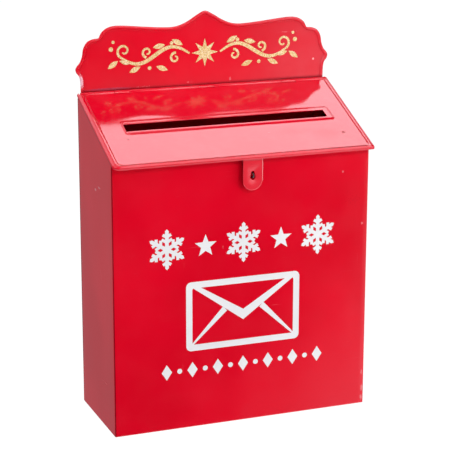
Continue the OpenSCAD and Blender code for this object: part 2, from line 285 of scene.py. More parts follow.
def build_lid():
    x0, x1 = -LHW + IN_S, LHW - IN_S
    xs = lines([x0, x0 + IN_R[-1], -104, -102.5, -SLOT_X, -91.3, -76.7, -7.3, 7.3, 76.7, 91.3, SLOT_X, 107.5, 110,
                x1 - IN_R[1], x1],
               [0.5, 2.2, 0.5, 0.4, 1.8, 1.8, 2.0, 2.0, 2.0, 1.8, 1.8, 0.5, 1.0, 2.2, 0.5])
    us = lines([IN_F, IN_F + IN_R[-1], 46, SLOT_A, SLOT_B, 72, 80, 113.6, 114.2, 114.6, 114.9, 115.2, 115.5, 115.9,
                HINGE_AT],
               [0.5, 2.2, 0.5, 2.0, 0.5, 1.0, 2.2, 1, 1, 1, 1, 1, 1, 2])
    fillet = {114.6: 0.0, 114.9: 0.03, 115.2: 0.11, 115.5: 0.22, 115.9: 0.22, HINGE_AT: 0.22}
    verts, faces, idx = [], [], {}

    def add(key, x, u, w):
        idx[key] = len(verts)
        verts.append(slope(x, u, w))
        return idx[key]

    nx, nu = len(xs), len(us)
    for j, u in enumerate(us):
        for i, x in enumerate(xs):
            px, pu = x, u
            for s, e in ((-1, x0), (1, x1)):
                r = IN_R[s]
                a, b = r - abs(x - e), r - (u - IN_F)
                if a > 1e-6 and b > 1e-6 and abs(x - e) < r:
                    a2 = a * math.sqrt(1 - b * b / (2 * r * r))
                    b2 = b * math.sqrt(1 - a * a / (2 * r * r))
                    px, pu = e - s * r + s * a2, IN_F + r - b2
            w = -0.70 + rim_height(px, pu) + lid_wave(px, pu) + lid_dents(px, pu) + fillet.get(round(u, 4), 0.0)
            add((i, j), px, pu, w)
    for j in range(nu - 2):
        for i in range(nx - 1):
            xm, um = (xs[i] + xs[i + 1]) / 2, (us[j] + us[j + 1]) / 2
            if abs(xm) < SLOT_X and SLOT_A < um < SLOT_B:
                continue
            if um > 114.5 and any(abs(xm - k * 84) < 7.3 for k in (-1, 0, 1)):
                continue
            faces.append((idx[i, j], idx[i + 1, j], idx[i + 1, j + 1], idx[i, j + 1]))
    # border: bead, bend and turned-down edge, swept along left side, front and right side
    path = [("s", -1, u, None) for u in (119.5, 118.4, 117.45)]
    for j in range(nu - 1, -1, -1):
        path.append(("s", -1, us[j], (0, j)))
    for i in range(1, nx):
        path.append(("f", xs[i], 0, (i, 0)))
    for j in range(1, nu):
        path.append(("s", 1, us[j], (nx - 1, j)))
    path += [("s", 1, u, None) for u in (117.45, 118.4, 119.5)]

    def place(kind, a, u, k):
        """Where ring k crosses a place of the path, with its height."""
        f = PROFILE_F[k]
        if kind == "s":
            s = a
            p = (PROFILE_L if s < 0 else PROFILE_R)[k]
            r = IN_R[s] + (OUT_R[s] - IN_R[s]) * (1 - p[0] / IN_S)
            if u >= IN_F + IN_R[s] - 1e-6:
                return s * (LHW - p[0]), u, p[1]
            t = (u - IN_F) / IN_R[s]
            du, dx = corner_arc(t, r)
            m = 0.5 + 0.5 * t
            return s * (LHW - p[0] - r + dx), f[0] + r - du, p[1] * m + f[1] * (1 - m)
        s = -1 if a < 0 else 1
        t = (abs((x0 if s < 0 else x1) - a)) / IN_R[s]
        p = (PROFILE_L if s < 0 else PROFILE_R)[k]
        r = IN_R[s] + (OUT_R[s] - IN_R[s]) * (1 - p[0] / IN_S)
        if t >= 1 - 1e-6:
            return a, f[0], f[1]
        dx, du = corner_arc(t, r)
        m = 0.5 + 0.5 * t
        return s * (LHW - p[0] - r + dx), f[0] + r - du, f[1] * m + p[1] * (1 - m)

    ring = {}
    m = len(PROFILE_F)
    for k in range(m):
        for p, (kind, a, u, g) in enumerate(path):
            if k == 0:
                if g is not None:
                    ring[k, p] = idx[g]
                continue
            if g is None and PROFILE_L[k][0] > 1.3:
                continue
            ring[k, p] = add(("r", k, p), *place(kind, a, u, k))
    for k in range(m - 1):
        for p in range(len(path) - 1):
            q = [(k, p), (k, p + 1), (k + 1, p + 1), (k + 1, p)]
            if all(c in ring for c in q):
                faces.append(tuple(ring[c] for c in q))
    ob = new_object("lid_sheet", verts, faces)
    face_out(ob, (0, -math.sin(SL), math.cos(SL)))
    solidify(ob, SH)
    bevel(ob, 0.13, 2, 60)
    parts = [ob]
    ends = [-123.4, -84 - 7.3, -84 + 7.3, -7.3, 7.3, 84 - 7.3, 84 + 7.3, 123.4]
    for k in range(0, len(ends), 2):
        parts.append(tube("barrel", ends[k], ends[k + 1], BR, 1.46, HY, HZ, 48))
    lid = join(parts, "lid_shell")
    sharpen(lid, 42)
    return lid


# ---------------------------------------------------------------- case
def arc(cx, cy, r, a0, a1, n):
    return [(cx + r * math.cos(math.radians(a0 + (a1 - a0) * i / n)),
             cy + r * math.sin(math.radians(a0 + (a1 - a0) * i / n))) for i in range(n + 1)]


def build_case():
    r, ry = 1.2, PLATE_Y - 0.01
    path = [(-113.0, ry), (-118.0, ry)]
    path += arc(-HW + r, ry - r, r, 90, 180, 6)
    path += [(-HW, HY - 3.04)] + [(-HW, y) for y in lines([HY - 3.1, FY + r], [3.4])]
    path += arc(-HW + r, FY + r, r, 180, 270, 6)[1:]
    path += [(x, FY) for x in lines([-HW + r, HW - r], [4.0])][1:-1]
    path += arc(HW - r, FY + r, r, 270, 360, 6)
    path += [(HW, y) for y in lines([FY + r, HY - 3.1], [3.4])][1:] + [(HW, HY - 3.04)]
    path += arc(HW - r, ry - r, r, 0, 90, 6)
    path += [(118.0, ry), (113.0, ry)]
    ts = [0, 0.004, 0.012] + [0.03 + 0.94 * i / 64 for i in range(65)] + [0.988, 0.996, 1.0]
    verts, faces = [], []
    nz = len(ts)
    zr = {}
    for p, (x, y) in enumerate(path):
        if abs(x) < 123.9 and y > 40:
            z0, z1 = 9.0, HZ - 6.4
        elif y > HY - 3.05:
            z0, z1 = 0.0, HZ - 2.9
        else:
            z0, z1 = 0.0, wall_top(max(y, FY))
        for t in ts:
            z = z0 + (z1 - z0) * t
            if y <= FY + 0.01:
                verts.append((x, y - front_wave(x, z), z))
            elif abs(x) >= HW - 0.01:
                s = 1 if x > 0 else -1
                verts.append((x + s * side_wave(y, z, 11.0 + 5 * s), y, z))
            else:
                verts.append((x, y, z))
    for p in range(len(path) - 1):
        for k in range(nz - 1):
            a = p * nz + k
            faces.append((a, a + nz, a + nz + 1, a + 1))
    ob = new_object("wrap", verts, faces)
    solidify(ob, SH)
    bevel(ob, 0.14, 2, 60)
    parts = [ob]
    # hems folded to the inside along the top edges
    z1 = wall_top(FY)
    parts.append(box_mesh("hem_f", (-122.4, FY + 0.45, z1 - 8), (122.4, FY + 1.25, z1 - 0.05), 0.3))
    for s in (-1, 1):
        n, a, b = 40, 17.2, 106.6
        v, f = [], []
        for i in range(n + 1):
            u = a + (b - a) * i / n
            for dx, dw in ((0.45, -8.0), (1.2, -8.0), (1.2, -0.3), (0.95, -0.06), (0.7, -0.06), (0.45, -0.2)):
                v.append(slope(s * (HW - dx), u, WALL_W + dw))
        for i in range(n):
            for k in range(6):
                f.append((i * 6 + k, i * 6 + (k + 1) % 6, (i + 1) * 6 + (k + 1) % 6, (i + 1) * 6 + k))
        f += [tuple(range(6)), tuple(n * 6 + k for k in range(6))]
        hem = new_object("hem_s", v, f)
        bm = bmesh.new(); bm.from_mesh(hem.data)
        bmesh.ops.recalc_face_normals(bm, faces=bm.faces)
        bm.to_mesh(hem.data); bm.free()
        parts.append(hem)
    case = join(parts, "case_shell")
    sharpen(case, 42)
    return case


# ---------------------------------------------------------------- header and back plate
def catmull(p, n):
    out, m = [], len(p) - 1
    for i in range(m):
        a, b, c, d = p[max(i - 1, 0)], p[i], p[i + 1], p[min(i + 2, m)]
        for k in range(n):
            t = k / n
            out.append(tuple(0.5 * (2 * b[q] + (c[q] - a[q]) * t + (2 * a[q] - 5 * b[q] + 4 * c[q] - d[q]) * t * t
                                    + (3 * b[q] - a[q] - 3 * c[q] + d[q]) * t ** 3) for q in (0, 1)))
    return out + [tuple(p[m])]


CROWN = [(-8, 68), (0, 71.4), (8, 68), (16, 63.2), (24, 59.6), (32.5, 57.8), (44, 58), (61, 59.4), (77, 61),
         (88.5, 61.6), (96.5, 60.2), (102.5, 56.2), (105.5, 50.8)]
SHOULDER = [(105.5, 50.8), (111.5, 50.2), (117, 47.6), (120.5, 42), (121.8, 35), (124, 29.5), (127, 26),
            (128.4, 23), (127.4, 19.5), (124.8, 16), (123.8, 10), (123.6, 0)]


def header_outline(n=8):
    half = [p for p in catmull(CROWN, n) if p[0] > -1e-6] + catmull(SHOULDER, n)[1:]
    left = [(-x, z) for x, z in reversed(half)]
    return [(x * HEAD_X, z + HEAD_Z) for x, z in left + half[1:]]


def resample(pts, step):
    out, carry = [pts[0]], 0.0
    for a, b in zip(pts, pts[1:]):
        a, b = Vector(a), Vector(b)
        L = (b - a).length
        while carry + L >= step:
            a = a + (b - a).normalized() * (step - carry)
            L = (b - a).length
            out.append(tuple(a))
            carry = 0.0
        carry += L
    if (Vector(out[-1]) - Vector(pts[-1])).length < step * 0.5:
        out[-1] = pts[-1]
    else:
        out.append(pts[-1])
    return out


ROLL = [(3.3, 0.02), (2.0, 0.02), (0.8, 0.02), (0.3, 0.16), (0.05, 0.5), (0.0, 0.85), (0.12, 1.2), (0.42, 1.5),
        (0.85, 1.71), (1.35, 1.79), (1.85, 1.74), (2.35, 1.58), (2.75, 1.34), (3.05, 1.04), (3.25, 0.78),
        (3.45, 0.63), (3.8, 0.585)]


def build_back():
    out = resample(header_outline(10), 0.75)
    n = len(out)
    nrm = []
    for i in range(n):
        a, b = Vector(out[max(i - 1, 0)]), Vector(out[min(i + 1, n - 1)])
        d = (b - a).normalized()
        nrm.append(Vector((d[1], -d[0])))      # to the inside, as the outline runs left to right over the top
    # rings offset to the inside, relaxed so that they don't cross at tight bends
    def offset(d):
        ring = [Vector(out[i]) + nrm[i] * d for i in range(n)]
        for _ in range(int(d * 5)):
            ring = [ring[0]] + [ring[i] * 0.5 + (ring[i - 1] + ring[i + 1]) * 0.25 for i in range(1, n - 1)] + [ring[-1]]
        return ring
    rings = [(offset(d), y) for d, y in ROLL]
    verts, faces = [], []
    for ring, y in rings:
        verts += [(p[0], BY - y, p[1]) for p in ring]
    m = len(rings)
    for k in range(m):
        for i in range(n - 1):
            a, b = k * n + i, k * n + i + 1
            c, d = ((k + 1) % m) * n + i + 1, ((k + 1) % m) * n + i
            faces.append((a, b, c, d))
    faces.append(tuple(k * n for k in range(m)))
    faces.append(tuple(k * n + n - 1 for k in reversed(range(m))))
    roll = new_object("roll", verts, faces)
    bm = bmesh.new(); bm.from_mesh(roll.data)
    bmesh.ops.recalc_face_normals(bm, faces=bm.faces)
    bm.to_mesh(roll.data); bm.free()
    # flat plate with its two screw holes
    inner = offset(1.2)
    loop = [(-HW, 0), (HW, 0), (HW, HZ - 3.6), (HW - 0.6, HZ - 3.0), (121.9, HZ - 3.0)]
    loop += [tuple(p) for p in reversed(inner)] + [(-121.9, HZ - 3.0), (-HW + 0.6, HZ - 3.0), (-HW, HZ - 3.6)]
    bm = bmesh.new()

    def ring_edges(pts):
        vs = [bm.verts.new((x * MM, BY * MM, z * MM)) for x, z in pts]
        return [bm.edges.new((vs[i], vs[(i + 1) % len(vs)])) for i in range(len(vs))]
    edges = ring_edges(loop)
    for s in (-1, 1):
        edges += ring_edges([(s * 80 + 2.5 * math.cos(math.radians(a)), 272 + 2.5 * math.sin(math.radians(a)))
                             for a in range(0, 360, 15)])
    bmesh.ops.triangle_fill(bm, edges=edges, use_beauty=True, normal=(0, 1, 0))
    me = bpy.data.meshes.new("plate")
    bm.to_mesh(me)
    bm.free()
    plate = bpy.data.objects.new("plate", me)
    scene.collection.objects.link(plate)
    face_out(plate, (0, 1, 0))
    solidify(plate, SH)
    back_ob = join([plate, roll], "back_shell")
    sharpen(back_ob, 42)
    return back_ob


# ---------------------------------------------------------------- hasp
def build_hasp():
    """Tab of 0.8 mm sheet: rolled eye at the top, half-round end, slot cut through it."""
    half, zc = HASP_W / 2, HASP_LOW + HASP_W / 2
    bm = bmesh.new()

    def ring_edges(pts):
        vs = [bm.verts.new((x * MM, TAB_Y * MM, z * MM)) for x, z in pts]
        return [bm.edges.new((vs[i], vs[(i + 1) % len(vs)])) for i in range(len(vs))]
    outer = [(HX - half, PZ - 0.4)] + [(HX - half, z) for z in lines([PZ - 4, zc], [3.0])][:-1]
    outer += [(HX + half * math.cos(math.radians(a)), zc + half * math.sin(math.radians(a))) for a in range(180, 361, 6)]
    outer += [(HX + half, z) for z in lines([zc, PZ - 4], [3.0])][1:] + [(HX + half, PZ - 0.4)]
    slot, tilt = [], math.degrees(math.asin(0.9 / 4.3))
    for k in range(15):
        a = math.radians(tilt + (180 - 2 * tilt) * k / 14)
        slot.append((HX + 1.6 * math.cos(a), STAPLE_Z + 2.6 + 1.6 * math.sin(a)))
    for k in range(19):
        a = math.radians(180 - tilt + (180 + 2 * tilt) * k / 18)
        slot.append((HX + 2.5 * math.cos(a), STAPLE_Z - 1.7 + 2.5 * math.sin(a)))
    # the edge of the tab is coined back a little, in three steps
    centre = Vector((HX, zc))
    rings = []
    for inset, dy in ((0.0, 0.30), (0.35, 0.14), (0.75, 0.035), (1.15, 0.0)):
        ring_pts = []
        for x, z in outer:
            if z >= zc:
                ring_pts.append((HX + (1 if x > HX else -1) * (half - inset), z))
            else:
                p = centre + (Vector((x, z)) - centre) * ((half - inset) / half)
                ring_pts.append((p[0], p[1]))
        rings.append([bm.verts.new((x * MM, (TAB_Y + dy) * MM, z * MM)) for x, z in ring_pts])
    n_o = len(outer)
    for a_, b_ in zip(rings, rings[1:]):
        for i in range(n_o - 1):
            bm.faces.new((a_[i], a_[i + 1], b_[i + 1], b_[i]))
    last = rings[-1]
    edges = [bm.edges.get((last[i], last[i + 1])) for i in range(n_o - 1)] + [bm.edges.new((last[-1], last[0]))]
    edges += ring_edges(slot)
    bmesh.ops.triangle_fill(bm, edges=edges, use_beauty=True, normal=(0, -1, 0))
    me = bpy.data.meshes.new("tab")
    bm.to_mesh(me)
    bm.free()
    tab = bpy.data.objects.new("tab", me)
    scene.collection.objects.link(tab)
    face_out(tab, (0, -1, 0))
    solidify(tab, 0.5)
    bevel(tab, 0.16, 2, 50)
    eye = tube("eye", HX - half, HX + half, 1.75, 0.96, PY, PZ, 36, 0.2)
    ob = join([tab, eye], "hasp_shell")
    sharpen(ob, 42)
    return ob


# ---------------------------------------------------------------- printed ornaments, laid on the sheet they sit on
def laid_on(node, name, wave, cut):
    src = NODES[node].data
    bm = bmesh.new()
    bm.from_mesh(src)
    lo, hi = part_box(node)
    step = cut * MM
    for axis in (0, 2):
        c = lo[axis] + step
        while c < hi[axis]:
            co, no = Vector((0, 0, 0)), Vector((0, 0, 0))
            co[axis], no[axis] = c, 1
            bmesh.ops.bisect_plane(bm, geom=bm.verts[:] + bm.edges[:] + bm.faces[:], plane_co=co, plane_no=no,
                                   dist=1e-7)
            c += step
    for v in bm.verts:
        v.co.y -= wave(v.co.x / MM, v.co.z / MM) * MM
    me = bpy.data.meshes.new(name)
    bm.to_mesh(me)
    bm.free()
    me.materials.clear()
    ob = bpy.data.objects.new(name, me)
    scene.collection.objects.link(ob)
    sharpen(ob, 35)
    return ob


# ---------------------------------------------------------------- materials
class Mat:
    def __init__(self, name):
        self.mat = bpy.data.materials.new(name)
        self.mat.use_nodes = True
        self.t = self.mat.node_tree
        self.bsdf = self.t.nodes["Principled BSDF"]
        self.coord = self.t.nodes.new("ShaderNodeTexCoord").outputs["Object"]

    def node(self, kind, **kw):
        n = self.t.nodes.new(kind)
        for k, v in kw.items():
            setattr(n, k, v)
        return n

    def put(self, socket, value):
        if hasattr(value, "is_output") or isinstance(value, bpy.types.NodeSocket):
            self.t.links.new(value, socket)
        else:
            socket.default_value = value

    def scaled(self, sx, sy, sz, off=(0, 0, 0)):
        n = self.node("ShaderNodeMapping")
        self.put(n.inputs["Vector"], self.coord)
        n.inputs["Scale"].default_value = (sx, sy, sz)
        n.inputs["Location"].default_value = off
        return n.outputs[0]

    def noise(self, scale, detail=2.0, rough=0.5, vec=None, distortion=0.0):
        n = self.node("ShaderNodeTexNoise")
        self.put(n.inputs["Vector"], vec or self.coord)
        n.inputs["Scale"].default_value = scale
        n.inputs["Detail"].default_value = detail
        n.inputs["Roughness"].default_value = rough
        n.inputs["Distortion"].default_value = distortion
        return n.outputs["Fac"]

    def voronoi(self, scale, vec=None, feature="F1", rand=1.0):
        n = self.node("ShaderNodeTexVoronoi", feature=feature)
        self.put(n.inputs["Vector"], vec or self.coord)
        n.inputs["Scale"].default_value = scale
        n.inputs["Randomness"].default_value = rand
        return n

    def map(self, v, a, b, c=0.0, d=1.0, smooth=False):
        n = self.node("ShaderNodeMapRange", interpolation_type="SMOOTHSTEP" if smooth else "LINEAR")
        self.put(n.inputs["Value"], v)
        for k, x in zip(("From Min", "From Max", "To Min", "To Max"), (a, b, c, d)):
            n.inputs[k].default_value = x
        return n.outputs["Result"]

    def math(self, op, a, b=0.0, c=0.0):
        n = self.node("ShaderNodeMath", operation=op)
        self.put(n.inputs[0], a)
        self.put(n.inputs[1], b)
        self.put(n.inputs[2], c)
        return n.outputs[0]

    def mix(self, fac, a, b):
        n = self.node("ShaderNodeMix", data_type="RGBA")
        self.put(n.inputs[0], fac)
        self.put(n.inputs[6], a)
        self.put(n.inputs[7], b)
        return n.outputs[2]

    def bump(self, height, dist, strength=1.0, normal=None):
        n = self.node("ShaderNodeBump")
        self.put(n.inputs["Height"], height)
        n.inputs["Distance"].default_value = dist
        n.inputs["Strength"].default_value = strength
        if normal is not None:
            self.put(n.inputs["Normal"], normal)
        return n.outputs[0]


def red_paint(name, base=(0.80, 0.0008, 0.0165), rough=0.12, seed=0.0, haze=None, marks=(), peel=0.12, dull=0.16, fold_and_lid_shade=False,
              painted_ao_shade=0.0, reach=3.5, edges=False, bead_foot_shade=False):
    """Glossy sprayed enamel on sheet steel: faint mottling, orange peel, dust nibs, hairline scuffs,
    a paler haze where one is given (on the header a painted reflection), small marks at given places (middle, reach
    in mm, strength), some of them painted highlights and shade, and where asked, painted shade along folds, creases
    and the lid's bead, and a painted highlight and shadow on the hasp's edges."""
    k = Mat(name)
    off = (seed, seed * 0.7, seed * 1.3)
    broad = k.noise(9.0, 2.0, 0.5, k.scaled(1, 1, 1, off))
    mid = k.noise(38.0, 3.0, 0.55, k.scaled(1, 1, 1, off))
    fine = k.noise(330.0, 3.0, 0.6, k.scaled(1, 1, 1, off))
    grain = k.noise(900.0, 2.0, 0.6)
    speck = k.noise(650.0, 1.0, 0.5, k.scaled(1, 1, 1, (2, 5, 9)))
    dark = tuple(c * 0.92 for c in base) + (1,)
    lite = (min(base[0] * 1.04, 0.9), base[1] * 1.2, base[2] * 1.15, 1)
    col = k.mix(k.map(broad, 0.35, 0.65, 0, 1, True), dark, lite)
    col = k.mix(k.map(mid, 0.42, 0.72, 0.0, 0.14, True), col, (base[0], base[1] + 0.004, base[2] + 0.010, 1))
    col = k.mix(k.map(fine, 0.38, 0.7, 0.0, 0.12), col, (base[0] * 0.92, base[1] + 0.003, base[2] + 0.008, 1))
    if fold_and_lid_shade:
        # painted shade: a dark line along the fold at the front left, where the bend mirrors dark surroundings
        sx = k.node("ShaderNodeSeparateXYZ")
        k.put(sx.inputs[0], k.coord)
        fold = k.math("MULTIPLY", k.map(sx.outputs[0], -0.1237, -0.1245, 0.0, 0.80), k.map(sx.outputs[1], -0.0491, -0.0500))
        col = k.mix(fold, col, (0.16, 0.0, 0.006, 1))
        # and a painted shadow: the shaded line on the side wall just under the lid's edge
        rise = k.math("SUBTRACT", sx.outputs[2], k.math("MULTIPLY", sx.outputs[1], math.tan(SL)))
        edge = (EZ - EY * math.tan(SL) - 3.4 / math.cos(SL)) * MM
        under = k.math("MULTIPLY", k.map(rise, edge - 0.0036, edge - 0.0023, 0.0, 0.6, True),
                       k.math("LESS_THAN", sx.outputs[0], -0.1245))
        col = k.mix(under, col, (0.16, 0.0, 0.006, 1))
    if haze:
        # a paler veil mixed into the colour: random bloom on the case and lid, painted reflection on the header
        col = k.mix(haze(k), col, (0.80, 0.085, 0.11, 1))
    # dust nibs under the paint
    v = k.voronoi(95.0, k.scaled(1, 1, 1, off))
    near = k.map(v.outputs["Distance"], 0.03, 0.055, 1.0, 0.0, True)
    sep = k.node("ShaderNodeSeparateColor")
    k.put(sep.inputs[0], v.outputs["Color"])
    pick = k.math("GREATER_THAN", sep.outputs[0], 0.94)
    nib = k.math("MULTIPLY", near, pick)
    col = k.mix(k.math("MULTIPLY", nib, 0.30), col, (0.62, 0.05, 0.07, 1))
    # hairline scuffs
    s1 = k.noise(1.0, 2.0, 0.5, k.scaled(26, 26, 900, off), 0.6)
    s2 = k.noise(1.0, 2.0, 0.5, k.scaled(700, 60, 30, off), 0.8)
    area = k.map(k.noise(22.0, 2.0, 0.5, k.scaled(1, 1, 1, (seed + 3, 1, 2))), 0.55, 0.72, 0, 1, True)
    sc = k.math("MULTIPLY", k.math("MAXIMUM", k.map(s1, 0.70, 0.74, 0, 1), k.map(s2, 0.71, 0.75, 0, 1)), area)
    col = k.mix(k.math("MULTIPLY", sc, 0.16), col, (0.85, 0.20, 0.24, 1))
    rub = sc
    for centre, size, amount, tint, *solid in marks:
        off_n = k.node("ShaderNodeVectorMath", operation="SUBTRACT")
        k.put(off_n.inputs[0], k.coord)
        off_n.inputs[1].default_value = tuple(c * MM for c in centre)
        sca = k.node("ShaderNodeVectorMath", operation="DIVIDE")
        k.put(sca.inputs[0], off_n.outputs[0])
        sca.inputs[1].default_value = tuple(c * MM for c in size)
        ln = k.node("ShaderNodeVectorMath", operation="LENGTH")
        k.put(ln.inputs[0], sca.outputs[0])
        ragged = k.math("ADD", ln.outputs["Value"], k.map(grain, 0.3, 0.7, -0.32, 0.32))
        spot = k.math("MULTIPLY", k.map(ragged, 0.45, 1.0, 1.0, 0.0, True), amount)
        if max(size[0], size[2]) > 3.5 and not solid:
            spot = k.math("MULTIPLY", spot, k.map(speck, 0.52, 0.62, 0.08, 1.0, True))
        col = k.mix(spot, col, tint + (1,))
        rub = k.math("MAXIMUM", rub, spot)
    if painted_ao_shade:
        # painted shade: the base colour is darkened where ambient occlusion finds creases, overhangs and the gap
        # behind the hasp, fading in from 30 to 60 mm up
        ao = k.node("ShaderNodeAmbientOcclusion", samples=8)
        ao.inputs["Distance"].default_value = reach * MM
        sx = k.node("ShaderNodeSeparateXYZ")
        k.put(sx.inputs[0], k.coord)
        ao_shade_amount = k.math("MULTIPLY", k.map(ao.outputs["AO"], 0.50, 0.96, painted_ao_shade, 0.0), k.map(sx.outputs[2], 0.03, 0.06))
        col = k.mix(ao_shade_amount, col, (0.20, 0.0, 0.008, 1))
    if bead_foot_shade:
        # painted shade: a dark line along the foot of the lid's bead, where its slope mirrors darker surroundings
        sx = k.node("ShaderNodeSeparateXYZ")
        k.put(sx.inputs[0], k.coord)
        along = k.math("ADD", k.math("MULTIPLY", sx.outputs[1], math.cos(SL)), k.math("MULTIPLY", sx.outputs[2], math.sin(SL)))
        u0 = (EY * math.cos(SL) + EZ * math.sin(SL)) * MM
        ax = k.math("ABSOLUTE", sx.outputs[0])
        foot_f = k.math("MULTIPLY", k.map(along, u0 + 0.0020, u0 + 0.0026, 0.0, 1.0), k.map(along, u0 + 0.0038, u0 + 0.0043, 1.0, 0.0))
        foot_f = k.math("MULTIPLY", foot_f, k.map(ax, 0.1190, 0.1210, 0.5, 0.0))
        foot_s = k.math("MULTIPLY", k.map(ax, 0.1200, 0.1203, 0.0, 1.0), k.map(ax, 0.1210, 0.1214, 1.0, 0.0))
        foot_s = k.math("MULTIPLY", foot_s, k.map(along, u0 + 0.0035, u0 + 0.0060, 0.0, 0.22))
        col = k.mix(k.math("MAXIMUM", foot_f, foot_s), col, (0.22, 0.0, 0.006, 1))
    if edges:
        # painted highlight along the hasp's right edge above its lower end, and painted shadow along its left edge
        sx = k.node("ShaderNodeSeparateXYZ")
        k.put(sx.inputs[0], k.coord)
        right_edge_highlight = k.math("MULTIPLY", k.map(sx.outputs[0], 0.01520, 0.01545, 0.0, 0.85),
                         k.map(sx.outputs[2], 0.2262, 0.2330, 0.0, 1.0))
        left_edge_shadow = k.map(sx.outputs[0], -0.00325, -0.00345, 0.0, 0.75)
        col = k.mix(right_edge_highlight, col, (0.95, 0.72, 0.76, 1))
        col = k.mix(left_edge_shadow, col, (0.30, 0.0, 0.01, 1))
    k.put(k.bsdf.inputs["Base Color"], col)
    r = k.map(k.noise(45.0, 3.0, 0.6), 0.3, 0.7, rough * 0.8, rough * 1.3)
    r = k.math("ADD", r, k.math("MULTIPLY", rub, dull))
    k.put(k.bsdf.inputs["Roughness"], r)
    b = k.bump(k.noise(420.0, 1.5, 0.45), 0.00005, peel)
    b = k.bump(nib, 0.00010, 0.8, b)
    k.put(k.bsdf.inputs["Normal"], b)
    k.bsdf.inputs["IOR"].default_value = 1.5
    return k.mat


def bare_steel(name, shade=1.0):
    k = Mat(name)
    n = k.noise(300.0, 3.0, 0.6)
    k.put(k.bsdf.inputs["Base Color"], k.mix(k.map(n, 0.3, 0.7), tuple(c * shade for c in (0.24, 0.23, 0.23)) + (1,),
                                              tuple(c * shade for c in (0.46, 0.46, 0.47)) + (1,)))
    k.bsdf.inputs["Metallic"].default_value = 1.0
    k.put(k.bsdf.inputs["Roughness"], k.map(k.noise(180.0, 2.0), 0.3, 0.7, 0.22, 0.42))
    k.put(k.bsdf.inputs["Normal"], k.bump(n, 0.00004, 0.5))
    return k.mat


def white_vinyl(name):
    k = Mat(name)
    n = k.noise(500.0, 2.0, 0.5)
    w = k.noise(14.0, 2.0, 0.5)
    k.put(k.bsdf.inputs["Base Color"], k.mix(k.map(w, 0.35, 0.65), (0.84, 0.83, 0.86, 1), (0.90, 0.89, 0.91, 1)))
    k.put(k.bsdf.inputs["Roughness"], k.map(n, 0.3, 0.7, 0.30, 0.42))
    k.put(k.bsdf.inputs["Normal"], k.bump(n, 0.00003, 0.4))
    return k.mat


def gold_glitter(name):
    k = Mat(name)
    v = k.voronoi(1500.0)
    sep = k.node("ShaderNodeSeparateColor")
    k.put(sep.inputs[0], v.outputs["Color"])
    col = k.mix(sep.outputs[0], (0.72, 0.47, 0.14, 1), (1.0, 0.84, 0.44, 1))
    spark = k.math("GREATER_THAN", sep.outputs[1], 0.86)
    col = k.mix(spark, col, (1.0, 0.93, 0.68, 1))
    k.put(k.bsdf.inputs["Base Color"], col)
    k.bsdf.inputs["Metallic"].default_value = 0.25
    k.put(k.bsdf.inputs["Roughness"], k.map(sep.outputs[2], 0.0, 1.0, 0.25, 0.6))
    k.put(k.bsdf.inputs["Normal"], k.bump(sep.outputs[0], 0.00012, 0.7))
    return k.mat


def wear(obj, mat):
    obj.data.materials.clear()
    obj.data.materials.append(mat)


PALE, DEEP = (0.86, 0.42, 0.46), (0.62, 0.001, 0.012)


def header_painted_sheen(k):
    """Painted reflection: a paler bloom that thickens towards the foot of the header, where the bright lid is
    mirrored, and to its right, with random patches.
    """
    sep = k.node("ShaderNodeSeparateXYZ")
    k.put(sep.inputs[0], k.coord)
    low = k.map(sep.outputs[2], 0.302, 0.334, 0.18, 0.01)
    right_ = k.map(sep.outputs[0], 0.0, 0.125, 0.0, 0.36, True)
    top = k.map(sep.outputs[2], 0.350, 0.362, 1.0, 0.55)
    patchy = k.map(k.noise(26.0, 3.0, 0.6), 0.3, 0.7, 0.75, 1.25)
    zone = k.math("GREATER_THAN", sep.outputs[2], 0.290)
    zone = k.math("MULTIPLY", zone, k.math("LESS_THAN", sep.outputs[1], 0.0503))
    return k.math("MULTIPLY", k.math("MULTIPLY", k.math("MULTIPLY", k.math("ADD", low, right_), top), patchy), zone)


def bloom(scale, low, high, amount):
    return lambda k: k.map(k.noise(scale, 3.0, 0.55), low, high, 0.0, amount, True)


# Case paint: painted shade along the front-left fold, under the lid's edge and from ambient occlusion; marks: pale
# specks, those low along the front's right edge being small dents and scuffs painted with the highlights they catch,
# and one darker patch.
M_case = red_paint("paint_case", seed=0.0, haze=bloom(16.0, 0.48, 0.70, 0.03), fold_and_lid_shade=True, painted_ao_shade=0.75, reach=8.0, marks=[
    ((-125, -1.6, 221.9), (3, 3.4, 1.4), 0.55, PALE), ((-125, -12.7, 225.9), (3, 5, 1.1), 0.45, PALE),
    ((98.7, -50.5, 230.8), (0.9, 2, 1.1), 0.6, PALE), ((119.4, -50.5, 179.5), (1.2, 2, 1.3), 0.5, PALE),
    ((122.4, -50.5, 31.0), (0.8, 2, 3.2), 0.40, PALE), ((122.9, -50.5, 15.5), (1.3, 2, 3.4), 0.45, PALE),
    ((122.6, -50.5, 6.0), (1.6, 2, 3.2), 0.42, PALE), ((-20.1, -50.5, 170.2), (0.6, 2, 2.0), 0.25, PALE),
    ((108, -50.5, 204), (13, 4, 9), 0.35, DEEP)])
# Lid paint: a painted shade line along the foot of its bead; the two marks in the base colour only dull the gloss,
# and two small dark specks.
M_lid = red_paint("paint_lid", base=(0.80, 0.0012, 0.019), seed=4.0, bead_foot_shade=True, rough=0.09, peel=0.08, dull=0.42,
                  haze=bloom(34.0, 0.45, 0.66, 0.11), marks=[
    ((88.0, -37.0, 265.0), (17, 12, 6), 0.30, (0.80, 0.0012, 0.019), 1), ((60.0, -30.0, 268.0), (22, 9, 5), 0.20, (0.80, 0.0012, 0.019), 1),
    ((104.7, -37.1, 265.0), (2.4, 2.4, 2.4), 0.85, (0.40, 0.0, 0.005)),
    ((-100.6, -23.7, 270.7), (1.0, 1.2, 1.2), 0.7, (0.30, 0.0, 0.004))])
